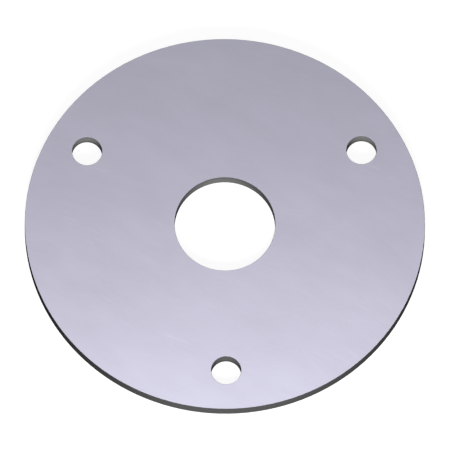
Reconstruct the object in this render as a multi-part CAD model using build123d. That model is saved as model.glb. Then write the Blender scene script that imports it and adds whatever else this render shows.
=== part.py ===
from build123d import *
import os

# Round base plate, blanked and pierced in one piece out of flat sheet steel.
# The underside lies on the plane z = 0, +Z points up out of the top face, and
# the Z axis runs through the middle of the bore. One screw hole lies towards -Y.
# Lengths are in millimetres and angles in degrees.

# Driving dimensions of the blank
plate_diameter = 120.0
plate_thickness = 4.0

# Driving dimensions of the bore, which the tube that the plate carries drops into
tube_diameter = 30.0
tube_clearance = 0.2

# Driving dimensions of the screw holes. The edge distance runs from a screw's
# axis to the rim, and the first angle is counted from +X.
screw_diameter = 8.0
screw_clearance = 1.0
screw_edge_distance = 12.5
screw_count = 3
first_screw_angle = -90.0

# Driving dimension of the edges, which deburring leaves with this radius
edge_radius = 0.1

# Sizes that follow: each clearance is counted across the diameter
bore_diameter = tube_diameter + tube_clearance
screw_hole_diameter = screw_diameter + screw_clearance
screw_circle_diameter = plate_diameter - 2 * screw_edge_distance


def blank_outline():
    """The plate's outline as it is cut out of the sheet: a disc with its round holes."""
    with BuildSketch(Plane.XY) as outline:
        Circle(plate_diameter / 2)
        Circle(bore_diameter / 2, mode=Mode.SUBTRACT)
        with PolarLocations(screw_circle_diameter / 2, screw_count, start_angle=first_screw_angle):
            Circle(screw_hole_diameter / 2, mode=Mode.SUBTRACT)
    return outline.sketch


def base_plate():
    """The finished plate: the outline through the sheet's thickness, with every edge deburred."""
    with BuildPart() as plate:
        add(blank_outline())
        extrude(amount=plate_thickness)
        # The rim, the bore and each screw hole meet both faces in a circle
        fillet(plate.edges().filter_by(GeomType.CIRCLE), radius=edge_radius)
    return plate.part


os.makedirs("parts", exist_ok=True)
export_step(base_plate(), "parts/base_plate.step")
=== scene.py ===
# %% [markdown]
# A round base plate, finished and photographed
#
# The object is one flat disc of 4 mm sheet steel, 120 mm across, with a bore in the middle for a
# tube and three screw holes near its rim. A plate like this is punched out of coated sheet in one
# stroke, so it has two kinds of surface. The two faces still carry the mill's satin zinc finish,
# pale grey with a cool, faintly violet cast, and a soft grain that runs the way the sheet was
# rolled. The rim and the walls of the holes were sheared through, so they are bare steel, much
# darker and quite without colour.
#
# The shape is finished already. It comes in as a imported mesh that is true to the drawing, with the
# small rounding that deburring leaves on each edge, so nothing is modelled on top of it. What is
# left is what this lesson is about: the finish, the paper that the plate lies on, the light and the
# camera.

# %% Load the plate
import math

import bmesh
import bpy
from mathutils import Matrix, Vector


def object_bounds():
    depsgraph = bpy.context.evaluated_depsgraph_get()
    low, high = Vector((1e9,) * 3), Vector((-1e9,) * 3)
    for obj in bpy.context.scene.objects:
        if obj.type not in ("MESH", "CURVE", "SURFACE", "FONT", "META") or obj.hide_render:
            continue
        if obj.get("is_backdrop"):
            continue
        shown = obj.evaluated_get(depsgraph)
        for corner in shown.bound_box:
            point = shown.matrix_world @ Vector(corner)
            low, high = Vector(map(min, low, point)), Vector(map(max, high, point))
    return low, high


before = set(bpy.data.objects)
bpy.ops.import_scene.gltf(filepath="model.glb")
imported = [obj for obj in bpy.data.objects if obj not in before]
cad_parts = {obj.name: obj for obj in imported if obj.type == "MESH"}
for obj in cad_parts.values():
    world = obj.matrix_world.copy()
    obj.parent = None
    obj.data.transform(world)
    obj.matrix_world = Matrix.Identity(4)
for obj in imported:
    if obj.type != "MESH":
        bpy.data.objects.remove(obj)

MM = 0.001  # everything in the scene is in metres
MICRON = 0.001 * MM

packed_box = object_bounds()
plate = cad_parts["base_plate"]
underside = packed_box[0].z
top_face = packed_box[1].z
thickness = top_face - underside
plate_width = packed_box[1].x - packed_box[0].x
print(f"plate: {plate_width / MM:.1f} mm wide and {thickness / MM:.1f} mm thick")

# %% [markdown]
# Shader maths that reads like maths
#
# A finish is a chain of small sums: this noise times that mask, plus a little of another. Wiring
# each sum by hand takes three lines and hides the formula. So one small class, Signal, holds a
# socket and turns the ordinary operators into Math nodes. The reflected forms, such as __rsub__,
# are what makes 1 - mask work, where the number comes first and would not know what to do with a
# socket.

# %% Signal
class Signal:
    """What comes out of a node, ready to be used in a sum."""

    def __init__(self, finish, socket):
        self.finish = finish
        self.socket = socket

    def math_node(self, operation, first, second):
        return self.finish.node("ShaderNodeMath", {"operation": operation}, {0: first, 1: second})["Value"]

    def __add__(self, other):
        return self.math_node("ADD", self, other)

    def __radd__(self, other):
        return self.math_node("ADD", other, self)

    def __sub__(self, other):
        return self.math_node("SUBTRACT", self, other)

    def __rsub__(self, other):
        return self.math_node("SUBTRACT", other, self)

    def __mul__(self, other):
        return self.math_node("MULTIPLY", self, other)

    def __rmul__(self, other):
        return self.math_node("MULTIPLY", other, self)


print("a Signal can be added, subtracted and multiplied, from either side")

# %% [markdown]
# One way to add any other node
#
# Every node that isn't a sum goes through Finish.node. It sets the node's settings first, because
# they decide which sockets the node has, and then fills the sockets, by name or by number, with
# plain values or with signals. A node such as Mix has several sockets of one name, one for each
# type of data, so a name means the one that is switched on.
#
# Two kinds of node come up so often that they get a method of their own: step, a mask with a soft
# edge, and mix, which blends two colours. A third, dim, scales a colour as a vector, because a Math
# node would turn it grey.

# %% Finish
class Outputs:
    """The outputs of a node that was just made, read by name as signals."""

    def __init__(self, finish, node):
        self.finish = finish
        self.node = node

    def __getitem__(self, name):
        socket = next(each for each in self.node.outputs if each.enabled and each.name == name)
        return Signal(self.finish, socket)


class Finish:
    """The node tree of a material or a world, emptied and ready to be filled."""

    def __init__(self, owner):
        self.owner = owner
        owner.use_nodes = True
        self.tree = owner.node_tree
        self.tree.nodes.clear()

    def node(self, kind, settings=None, inputs=None):
        made = self.tree.nodes.new(kind)
        for name, value in (settings or {}).items():
            setattr(made, name, value)
        for name, value in (inputs or {}).items():
            if isinstance(name, int):
                socket = made.inputs[name]
            else:
                socket = next(each for each in made.inputs if each.enabled and each.name == name)
            if isinstance(value, Signal):
                self.tree.links.new(value.socket, socket)
            else:
                socket.default_value = value
        return Outputs(self, made)

    def step(self, value, low, high):
        """0 below low, 1 above high, and an even curve between."""
        return self.node(
            "ShaderNodeMapRange",
            {"interpolation_type": "SMOOTHSTEP"},
            {"Value": value, "From Min": low, "From Max": high},
        )["Result"]

    def mix(self, share, first, second):
        """The first colour where share is 0, the second where it is 1."""
        return self.node(
            "ShaderNodeMix", {"data_type": "RGBA"}, {"Factor": share, "A": first, "B": second}
        )["Result"]

    def dim(self, colour, tone):
        """A colour made lighter or darker without changing its hue."""
        return self.node(
            "ShaderNodeVectorMath", {"operation": "SCALE"}, {"Vector": colour, "Scale": tone}
        )["Vector"]


def grey(level):
    return (level, level, level, 1.0)


steel = Finish(bpy.data.materials.new("zinc on steel"))
place = steel.node("ShaderNodeTexCoord")["Object"]
print(f"a new material, {steel.owner.name}, and the plate's own coordinates to draw on it with")

# %% [markdown]
# The grain of rolled sheet
#
# Rolls leave their grain in the coating: clouds a few centimetres long, wisps inside them, and fine
# streaks inside those, all drawn out the same way. On this plate they run 26 degrees clockwise from
# the X axis. Real grain is never ruled, so the place is first pushed about by a slow noise, a few
# millimetres this way or that, which makes the streaks waver together.
#
# A Mapping node of type Texture is the handy one for this, because its rotation is the pattern's
# own, and its scale is simply the size of one blotch: so long along the grain, so wide across it.
# Each layer starts at a place of its own far away in the noise, or all of them would show the same
# blotches at different sizes.

# %% Helpers for grain
GRAIN_DIRECTION = math.radians(-26)
WAVER_SIZE = 45 * MM
WAVER_REACH = 14 * MM
NOISE_MIDDLE = 0.5

waver = steel.node("ShaderNodeTexNoise", None, {"Vector": place, "Scale": 1 / WAVER_SIZE, "Detail": 1.0})
to_and_fro = steel.node(
    "ShaderNodeVectorMath",
    {"operation": "SUBTRACT"},
    {0: waver["Color"], 1: (NOISE_MIDDLE, NOISE_MIDDLE, NOISE_MIDDLE)},
)["Vector"]
wavering_place = steel.node(
    "ShaderNodeVectorMath",
    {"operation": "MULTIPLY_ADD"},
    {0: to_and_fro, 1: (WAVER_REACH, WAVER_REACH, 0), 2: place},
)["Vector"]


def noise(at, detail):
    """Noise around 0, mostly between -0.25 and 0.25."""
    drawn = steel.node("ShaderNodeTexNoise", None, {"Vector": at, "Scale": 1.0, "Detail": detail})
    return drawn["Fac"] - NOISE_MIDDLE


def grain(along, across, detail, start=0.0):
    """Noise in blotches of this length along the grain and this width across it."""
    laid = steel.node(
        "ShaderNodeMapping",
        {"vector_type": "TEXTURE"},
        {
            "Vector": wavering_place,
            "Location": (start, 0, 0),
            "Rotation": (0, 0, GRAIN_DIRECTION),
            "Scale": (along, across, across),
        },
    )["Vector"]
    return noise(laid, detail)


print(f"grain at {math.degrees(GRAIN_DIRECTION):.0f} degrees, wavering by {WAVER_REACH / 2 / MM:.0f} mm")

# %% [markdown]
# The coated faces
#
# Seen from above, the face changes its tone by only a few percent. Clouds do most of that, wisps
# and streaks the rest. Roll lines and a satin grain are finer than a pixel here, and show when one
# comes close.
#
# Here and there a streak was burnished by the rolls or by the next sheet in the stack. These bright
# marks are streaks too, cut off by a high threshold so that only their peaks are left, and let
# through by a second, slower noise so that they come in small groups. Handling leaves shallow dents
# in the same way. They change no colour at all, only the relief, so each shows as a short light
# line with a dark one beside it.
#
# The finish is satin, not polished. A passivated zinc coat scatters most of the light and mirrors
# some, so the surface is given a small share of metal and a middling roughness.

# %% Layers of grain
clouds = grain(along=34 * MM, across=15 * MM, detail=2.0)
wisps = grain(along=13 * MM, across=5 * MM, detail=2.0, start=300 * MM)
streaks = grain(along=6 * MM, across=1 * MM, detail=2.0, start=700 * MM)
roll_lines = grain(along=5 * MM, across=0.16 * MM, detail=1.0, start=100 * MM)
satin_grain = grain(along=0.45 * MM, across=0.07 * MM, detail=0.0, start=1300 * MM)
print("layers: clouds, wisps, streaks, roll lines and satin grain")

# %% Marks and dents
MARK_PEAKS = (0.12, 0.24)
MARK_GROUPS = (0.02, 0.14)
DENT_PEAKS = (0.07, 0.21)

long_streaks = grain(along=8 * MM, across=1.2 * MM, detail=2.0, start=900 * MM)
patches = grain(along=18 * MM, across=12 * MM, detail=1.0, start=500 * MM)
burnished_marks = steel.step(long_streaks, *MARK_PEAKS) * steel.step(patches, *MARK_GROUPS)

short_streaks = grain(along=3.6 * MM, across=1.6 * MM, detail=1.0, start=1100 * MM)
dents = steel.step(short_streaks, *DENT_PEAKS)
print(f"marks are the peaks over {MARK_PEAKS[0]}, dents those over {DENT_PEAKS[0]}")

# %% Colour of the faces
SATIN_ZINC = (0.500, 0.487, 0.590)
CLOUD_TONE = 0.12
WISP_TONE = 0.085
STREAK_TONE = 0.04
ROLL_LINE_TONE = 0.012
SATIN_TONE = 0.06
MARK_TONE = 0.045

cloudy_tone = CLOUD_TONE * clouds + WISP_TONE * wisps
lined_tone = STREAK_TONE * streaks + ROLL_LINE_TONE * roll_lines + SATIN_TONE * satin_grain
face_colour = steel.dim(SATIN_ZINC, 1.0 + cloudy_tone + lined_tone + MARK_TONE * burnished_marks)
print(f"zinc of colour {SATIN_ZINC}, with clouds of {CLOUD_TONE:.0%} and streaks of {STREAK_TONE:.0%}")

# %% Gloss and relief of the faces
FACE_ROUGHNESS = 0.43
WISP_ROUGHNESS = 0.12
ROLL_LINE_ROUGHNESS = 0.10
SATIN_ROUGHNESS = 0.15
MARK_SMOOTHNESS = 0.10
STREAK_RELIEF = 9 * MICRON
ROLL_LINE_RELIEF = 0.5 * MICRON
DENT_DEPTH = 7 * MICRON

cloudy_roughness = FACE_ROUGHNESS + WISP_ROUGHNESS * wisps
lined_roughness = ROLL_LINE_ROUGHNESS * roll_lines + SATIN_ROUGHNESS * satin_grain
face_roughness = cloudy_roughness + lined_roughness - MARK_SMOOTHNESS * burnished_marks
face_relief = STREAK_RELIEF * streaks + ROLL_LINE_RELIEF * roll_lines - DENT_DEPTH * dents
print(f"roughness {FACE_ROUGHNESS}, dents up to {DENT_DEPTH / MM:.3f} mm deep")

# %% [markdown]
# The sheared walls
#
# Shearing leaves two bands on a wall. Where the punch cut, the steel is burnished and shows fine
# upright drag lines. Where it then tore, the steel is rougher and grainy. In a pierced hole the
# burnished band is at the top, where the punch went in. The disc itself is the piece that was
# pushed out, so its band is at the bottom. The line between the bands wanders, because the tear
# does.
#
# Upright lines on a round wall need no unwrapping. A noise that is squeezed in X and Y and
# stretched in Z changes quickly as one walks around the wall and hardly at all from top to bottom.

# %% Helpers for walls
def wall_noise(around, upright, detail):
    """Noise that changes every so many metres around a wall and every so many up it."""
    laid = steel.node(
        "ShaderNodeMapping",
        {"vector_type": "TEXTURE"},
        {"Vector": place, "Scale": (around, around, upright)},
    )["Vector"]
    return noise(laid, detail)


def distance_from(point):
    """How far, seen from above, the surface is from this point."""
    away = steel.node("ShaderNodeVectorMath", {"operation": "SUBTRACT"}, {0: place, 1: point})
    in_plan = steel.node(
        "ShaderNodeVectorMath", {"operation": "MULTIPLY"}, {0: away["Vector"], 1: (1, 1, 0)}
    )
    return steel.node("ShaderNodeVectorMath", {"operation": "LENGTH"}, {0: in_plan["Vector"]})["Value"]


position = steel.node("ShaderNodeSeparateXYZ", None, {"Vector": place})
from_axis = distance_from((0, 0, 0))
drag_lines = wall_noise(around=0.30 * MM, upright=9 * MM, detail=2.0)
torn_grain = wall_noise(around=0.22 * MM, upright=0.22 * MM, detail=2.0)
tear_line = wall_noise(around=2.2 * MM, upright=40 * MM, detail=2.0)
print("the walls: drag lines, torn grain and a wandering line between them")

# %% Bands of the walls
RIM_STARTS = (55 * MM, 57 * MM)
BAND = 1.3 * MM
BAND_BLUR = 0.25 * MM
TEAR_WANDERS = 1.2 * MM

on_rim = steel.step(from_axis, *RIM_STARTS)
height = position["Z"] + TEAR_WANDERS * tear_line
rim_band = 1.0 - steel.step(height, underside + BAND - BAND_BLUR, underside + BAND + BAND_BLUR)
hole_band = steel.step(height, top_face - BAND - BAND_BLUR, top_face - BAND + BAND_BLUR)
burnished = on_rim * rim_band + (1.0 - on_rim) * hole_band
torn = 1.0 - burnished
print(f"the burnished band takes {BAND / MM:.1f} mm of {thickness / MM:.1f} mm")

# %% [markdown]
# The tone of the bare steel
#
# The sheared walls are not given one tone. The differences are painted light and shade, set by
# where each wall stands. The walls are painted lighter the further back they stand, so the screw hole
# in front is much darker than the two at the sides, and the bore lies between. The bore is painted
# lighter at its back, the rim lighter at its front, and the rim's left side darker.
#
# All of that is smooth and large, so no noise is needed. A distance from a point, seen from above
# and passed through a step, makes a soft round patch, and a coordinate passed through a step makes
# a soft border.

# %% Steel of the bore
BORE_STEEL = 0.081
BORE_BACK = (-3 * MM, 15 * MM, 0)
BORE_PAINTED_LIGHT_REACH = (0, 20 * MM)
BORE_PAINTED_SHADE = 0.50

# Painted light and shade: the bore's wall is painted lighter near its back and down to half as light
# towards its front and ends.
bore_painted_light = 1.0 - steel.step(distance_from(BORE_BACK), *BORE_PAINTED_LIGHT_REACH)
bore_tone = BORE_PAINTED_SHADE + (1.0 - BORE_PAINTED_SHADE) * bore_painted_light
bore_steel = steel.dim((BORE_STEEL, BORE_STEEL, BORE_STEEL), bore_tone)
print(f"the bore: {BORE_STEEL} at the back, {BORE_PAINTED_SHADE:.0%} of that in front")

# %% Steel of the screw holes
FRONT_HOLE_PAINTED_SHADE_STEEL = 0.049
SIDE_HOLE_PAINTED_LIGHT_STEEL = 0.104
BEHIND_FRONT_HOLE = (-40 * MM, 15 * MM)
PAST_BORE = (20 * MM, 35 * MM)
HOLE_BOTTOM_PAINTED_LIGHT = 1.08
HOLE_TOP_PAINTED_SHADE = 0.92

# Painted shade and light: the screw hole in front is painted darker and those at the sides lighter, by
# where they stand.
towards_side_holes = steel.step(position["Y"], *BEHIND_FRONT_HOLE)
screw_hole_steel = steel.mix(towards_side_holes, grey(FRONT_HOLE_PAINTED_SHADE_STEEL), grey(SIDE_HOLE_PAINTED_LIGHT_STEEL))
even_hole_steel = steel.mix(steel.step(from_axis, *PAST_BORE), bore_steel, screw_hole_steel)
# Painted light: each hole's wall is painted lighter below its burnished top band, where shade falls deep
# in the hole, and darker in that band.
hole_steel = steel.dim(even_hole_steel, HOLE_BOTTOM_PAINTED_LIGHT + (HOLE_TOP_PAINTED_SHADE - HOLE_BOTTOM_PAINTED_LIGHT) * hole_band)
print(f"the screw holes: {FRONT_HOLE_PAINTED_SHADE_STEEL} in front, {SIDE_HOLE_PAINTED_LIGHT_STEEL} at the sides")

# %% Steel of the rim
RIM_STEEL = 0.0365
RIM_FRONT = (0, -60 * MM, 0)
RIM_PAINTED_LIGHT_REACH = (15 * MM, 45 * MM)
RIM_PAINTED_SHADE = 0.90
LEFT_SHADE_SPREADS = (10 * MM, 50 * MM)
LEFT_SHADE_DEPTH = 0.41

# Painted light and shade: the rim is painted lighter at its front and darker on its left side.
rim_painted_light = 1.0 - steel.step(distance_from(RIM_FRONT), *RIM_PAINTED_LIGHT_REACH)
to_the_left = 0.0 - position["X"]
left_painted_shade = steel.step(to_the_left, *LEFT_SHADE_SPREADS)
rim_tone = (RIM_PAINTED_SHADE + (1.0 - RIM_PAINTED_SHADE) * rim_painted_light) * (1.0 - LEFT_SHADE_DEPTH * left_painted_shade)
rim_steel = steel.dim((RIM_STEEL, RIM_STEEL, RIM_STEEL), rim_tone)
print(f"the rim: {RIM_STEEL} in front, {RIM_PAINTED_SHADE:.0%} of that elsewhere, less where it is shaded")

# %% Finish of the walls
DRAG_TONE = 0.30
TORN_TONE = 0.35
TORN_ROUGHNESS = 0.60
BURNISHED_ROUGHNESS = 0.35
DRAG_RELIEF = 6 * MICRON
TORN_RELIEF = 12 * MICRON

wall_tone = 1.0 + DRAG_TONE * drag_lines * burnished + TORN_TONE * torn_grain * torn
wall_colour = steel.dim(steel.mix(on_rim, hole_steel, rim_steel), wall_tone)
wall_roughness = TORN_ROUGHNESS + (BURNISHED_ROUGHNESS - TORN_ROUGHNESS) * burnished
wall_relief = DRAG_RELIEF * drag_lines * burnished + TORN_RELIEF * torn_grain * torn
print(f"drag lines {DRAG_RELIEF / MM:.3f} mm deep, torn grain {TORN_RELIEF / MM:.3f} mm")

# %% [markdown]
# One material for one piece of steel
#
# Faces and walls are the same piece, so they share one material, and a mask says where the coating
# ends. It needs no painting: a face looks up or down and a wall looks sideways, so the height of
# the normal tells them apart. Deburring has also taken the coating off the small roundings between
# them. So the mask is squeezed into the last few degrees before a normal stands upright, and a
# little noise in it makes the coating end raggedly there, as it does under a file.
#
# The specular level is 0, since a dark sheared wall should not mirror the bright paper as varnish
# would.

# %% Where the coating ends
RAGGED = 0.05
COATING_FADES = (0.90, 0.975)

upwards = steel.node(
    "ShaderNodeSeparateXYZ", None, {"Vector": steel.node("ShaderNodeTexCoord")["Normal"]}
)["Z"]
# The bare colour on the roundings is partly real, where deburring took the coating off, and partly painted
# shade, as it darkens away the highlight that light would put on the rounded edge.
coated = steel.step(upwards * upwards + RAGGED * drag_lines, *COATING_FADES)
bare = 1.0 - coated
print(f"the coating is whole where the normal's squared height is over {COATING_FADES[1]}")

# %% The plate's material
METAL_SHARE = 0.25
NO_VARNISH = 0.0

relief = steel.node(
    "ShaderNodeBump",
    None,
    {"Strength": 1.0, "Distance": 1.0, "Height": coated * face_relief + bare * wall_relief},
)["Normal"]
surface = steel.node(
    "ShaderNodeBsdfPrincipled",
    None,
    {
        "Base Color": steel.mix(coated, wall_colour, face_colour),
        "Metallic": METAL_SHARE * coated,
        "Roughness": wall_roughness + coated * (face_roughness - wall_roughness),
        "Specular IOR Level": NO_VARNISH,
        "Normal": relief,
    },
)["BSDF"]
steel.node("ShaderNodeOutputMaterial", None, {"Surface": surface})

for slot in plate.material_slots:
    slot.material = steel.owner
print(f"{steel.owner.name}: {len(steel.tree.nodes)} nodes, on {len(plate.material_slots)} material slot")

# %% [markdown]
# The paper
#
# The plate lies on white paper that curves up all round, as on a product photographer's table. The
# paper is modelled as a basin: a flat floor, a quarter of a circle, a short wall, and then an
# outside and an underside, so that even a camera close to the floor, part of whose picture starts
# below it, looks at white paper.
#
# Such a round shape is its section, spun. The section itself starts as two points. Spinning the
# second one by a quarter turn draws the bend, and four straight steps draw the rest. A full spin
# round the plate's axis makes the surface. It lies a hair below the plate, because two faces in one
# plane would flicker through each other.

# %% The section of the paper
PAPER_FLAT = 1.6
PAPER_BEND = 0.5
PAPER_WALL = 0.3
PAPER_BACK = 0.2
PAPER_DROP = 1.0
BEND_STEPS = 16


def draw_on(form, end, step):
    """Draw a line on from its end by one straight step."""
    drawn = bmesh.ops.extrude_vert_indiv(form, verts=[end])["verts"]
    bmesh.ops.translate(form, verts=drawn, vec=step)
    return drawn[0]


def draw_section(form):
    """Half of the basin's section, from the middle of the floor round to the middle of the underside."""
    end = draw_on(form, form.verts.new((0, 0, 0)), (PAPER_FLAT, 0, 0))
    bend = bmesh.ops.spin(
        form,
        geom=[end],
        cent=(PAPER_FLAT, 0, PAPER_BEND),
        axis=(0, -1, 0),
        angle=math.pi / 2,
        steps=BEND_STEPS,
    )
    end = next(each for each in bend["geom_last"] if isinstance(each, bmesh.types.BMVert))
    end = draw_on(form, end, (0, 0, PAPER_WALL))
    end = draw_on(form, end, (PAPER_BACK, 0, 0))
    end = draw_on(form, end, (0, 0, -PAPER_BEND - PAPER_WALL - PAPER_DROP))
    draw_on(form, end, (-PAPER_FLAT - PAPER_BEND - PAPER_BACK, 0, 0))


print(f"paper: a floor {2 * PAPER_FLAT} m across, with a wall {PAPER_BEND + PAPER_WALL} m high")

# %% The paper
PAPER_GAP = 0.02 * MM
SPIN_STEPS = 96
MERGE_WITHIN = 0.1 * MM


def paper_basin():
    form = bmesh.new()
    draw_section(form)
    bmesh.ops.spin(
        form,
        geom=form.verts[:] + form.edges[:],
        cent=(0, 0, 0),
        axis=(0, 0, 1),
        angle=2 * math.pi,
        steps=SPIN_STEPS,
        use_merge=True,
    )
    bmesh.ops.remove_doubles(form, verts=form.verts, dist=MERGE_WITHIN)
    bmesh.ops.recalc_face_normals(form, faces=form.faces)
    bmesh.ops.translate(form, verts=form.verts, vec=(0, 0, underside - PAPER_GAP))
    for face in form.faces:
        face.smooth = True
    mesh = bpy.data.meshes.new("paper")
    form.to_mesh(mesh)
    form.free()
    return bpy.data.objects.new("paper", mesh)


paper = paper_basin()
bpy.context.scene.collection.objects.link(paper)
paper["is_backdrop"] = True
print(f"paper: {len(paper.data.polygons)} faces, {PAPER_GAP / MM} mm below the plate")

# %% [markdown]
# The paper's finish
#
# White paper under a lamp shows the lamp's fall-off, and a catalogue picture has none. So the paper
# glows, but only for the camera and for what is mirrored in metal or seen through glass. To the
# plate itself it is plain matt paper, which a lamp lights and a shadow darkens.
#
# Around the plate the glow stops just short of white. The lamps' light on the matt paper makes up
# the rest, and where the plate keeps it off, a faint shadow shows. From a few centimetres beyond
# the rim the glow rises to full white, so that the background is white from every side.

# %% Glow and grey of the paper
GLOW_BY_PLATE = 0.93
GLOW_FAR_OFF = 1.0
GLOW_RISES = (100 * MM, 180 * MM)
PAPER_GREY = 0.18

white_paper = Finish(bpy.data.materials.new("white paper"))
rays = white_paper.node("ShaderNodeLightPath")
looked_at = rays["Is Camera Ray"] + rays["Is Glossy Ray"] + rays["Is Transmission Ray"]
on_paper = white_paper.node("ShaderNodeTexCoord")["Object"]
from_middle = white_paper.node("ShaderNodeVectorMath", {"operation": "LENGTH"}, {0: on_paper})["Value"]
far_off = white_paper.step(from_middle, *GLOW_RISES)
glow_colour = white_paper.mix(far_off, grey(GLOW_BY_PLATE), grey(GLOW_FAR_OFF))

glow = white_paper.node("ShaderNodeEmission", None, {"Color": glow_colour, "Strength": looked_at})
matt = white_paper.node("ShaderNodeBsdfDiffuse", None, {"Color": grey(PAPER_GREY)})
both = white_paper.node("ShaderNodeAddShader", None, {0: glow["Emission"], 1: matt["BSDF"]})
white_paper.node("ShaderNodeOutputMaterial", None, {"Surface": both["Shader"]})
paper.data.materials.append(white_paper.owner)
print(f"paper: {GLOW_BY_PLATE} to {GLOW_FAR_OFF} to the camera, {PAPER_GREY} grey to the lamps")

# %% [markdown]
# The light
#
# The picture tells where its light came from. The face is nearly twice as bright at the near edge
# as at the far one, and evenly so from left to right, so the main lamp stood low and close in
# front. The front wall is the lightest part of the rim, and it falls to near black on both sides,
# so the lamp was narrow. No lamp shows in the plate as a highlight, so this one is hidden from
# reflections.
#
# A wide, dim panel overhead and a faint grey room fill the shadows. A long strip low behind the
# plate does nothing for this picture, but it lights the back of the rim, so that the plate looks
# right from there too.
#
# Blender gives an area lamp its power, and a photographer thinks of how bright its front is. The
# power is that brightness times the front's area times pi, so the lamp below can be made larger
# without getting brighter.

# %% Lamps
def lamp(name, stands_at, width, height, brightness, in_reflections):
    """A flat rectangular lamp whose front has this brightness, turned to face the plate."""
    light = bpy.data.lights.new(name, "AREA")
    light.shape = "RECTANGLE"
    light.size = width
    light.size_y = height
    light.energy = brightness * math.pi * width * height
    stand = bpy.data.objects.new(name, light)
    stand.location = stands_at
    stand.rotation_euler = (-Vector(stands_at)).to_track_quat("-Z", "Y").to_euler()
    stand.visible_glossy = in_reflections
    bpy.context.scene.collection.objects.link(stand)
    print(f"{name}: {light.energy:.1f} W at {Vector(stands_at).length:.2f} m")


lamp(
    "main lamp",
    stands_at=(-5 * MM, -296 * MM, 146 * MM),
    width=220 * MM,
    height=200 * MM,
    brightness=20.35,
    in_reflections=False,
)
lamp(
    "overhead panel",
    stands_at=(0, 0, 550 * MM),
    width=900 * MM,
    height=900 * MM,
    brightness=0.20,
    in_reflections=True,
)
lamp(
    "back strip",
    stands_at=(0, 360 * MM, 23 * MM),
    width=500 * MM,
    height=40 * MM,
    brightness=14.0,
    in_reflections=False,
)

# %% The room
ROOM_GREY = 0.11

room = Finish(bpy.data.worlds.new("room"))
bpy.context.scene.world = room.owner
fill = room.node("ShaderNodeBackground", None, {"Color": grey(ROOM_GREY), "Strength": 1.0})
room.node("ShaderNodeOutputWorld", None, {"Surface": fill["Background"]})
print(f"the room gives {ROOM_GREY} of fill light")

# %% [markdown]
# The camera
#
# The picture has no perspective: the near and far screw holes are equally wide. So the camera is
# orthographic, and its scale follows from one measurement, the plate's width in pixels. The plate's
# outline is an ellipse whose height to width gives the camera's elevation, 67.5 degrees. The screw
# holes show that it stood 1.65 degrees to the left of the front one, and the ellipse leans by 1.3
# degrees, which is the camera's roll.
#
# The camera's place is built up in the order in which one would set up a tripod: start at the
# middle of the top face, turn, tilt, roll, then step back. The last shift, a fraction of a
# millimetre, frames the plate.

# %% Camera
PICTURE_PX = 450
PLATE_WIDTH_PX = 400.16
PLATE_MIDDLE_X_PX = 224.918
PLATE_MIDDLE_Y_PX = 223.925
AZIMUTH = math.radians(-1.65)
ELEVATION = math.radians(67.546)
ROLL = math.radians(1.296)
STEP_BACK = 0.5

pixel = plate_width / PLATE_WIDTH_PX
picture_middle_px = PICTURE_PX / 2
to_right = (picture_middle_px - PLATE_MIDDLE_X_PX) * pixel
to_top = (PLATE_MIDDLE_Y_PX - picture_middle_px) * pixel

lens = bpy.data.cameras.new("camera")
lens.type = "ORTHO"
lens.ortho_scale = PICTURE_PX * pixel
camera = bpy.data.objects.new("camera", lens)
camera.matrix_world = (
    Matrix.Translation((0, 0, top_face))
    @ Matrix.Rotation(AZIMUTH, 4, "Z")
    @ Matrix.Rotation(math.pi / 2 - ELEVATION, 4, "X")
    @ Matrix.Rotation(ROLL, 4, "Z")
    @ Matrix.Translation((to_right, to_top, STEP_BACK))
)
bpy.context.scene.collection.objects.link(camera)
bpy.context.scene.camera = camera
bpy.context.scene.view_settings.view_transform = "Standard"
print(f"a pixel is {pixel / MM:.3f} mm, and the picture is {lens.ortho_scale / MM:.1f} mm wide")

# %% [markdown]
# Checking the size
#
# A finish must not change a part's dimensions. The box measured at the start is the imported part's,
# and the one measured now is that of all that will be seen, so the two should agree to the last
# digit.

# %% Sizes
finished_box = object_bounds()
grown = (finished_box[1] - packed_box[1]).length
print(f"the finished plate differs from the packed one by {grown / MM} mm")
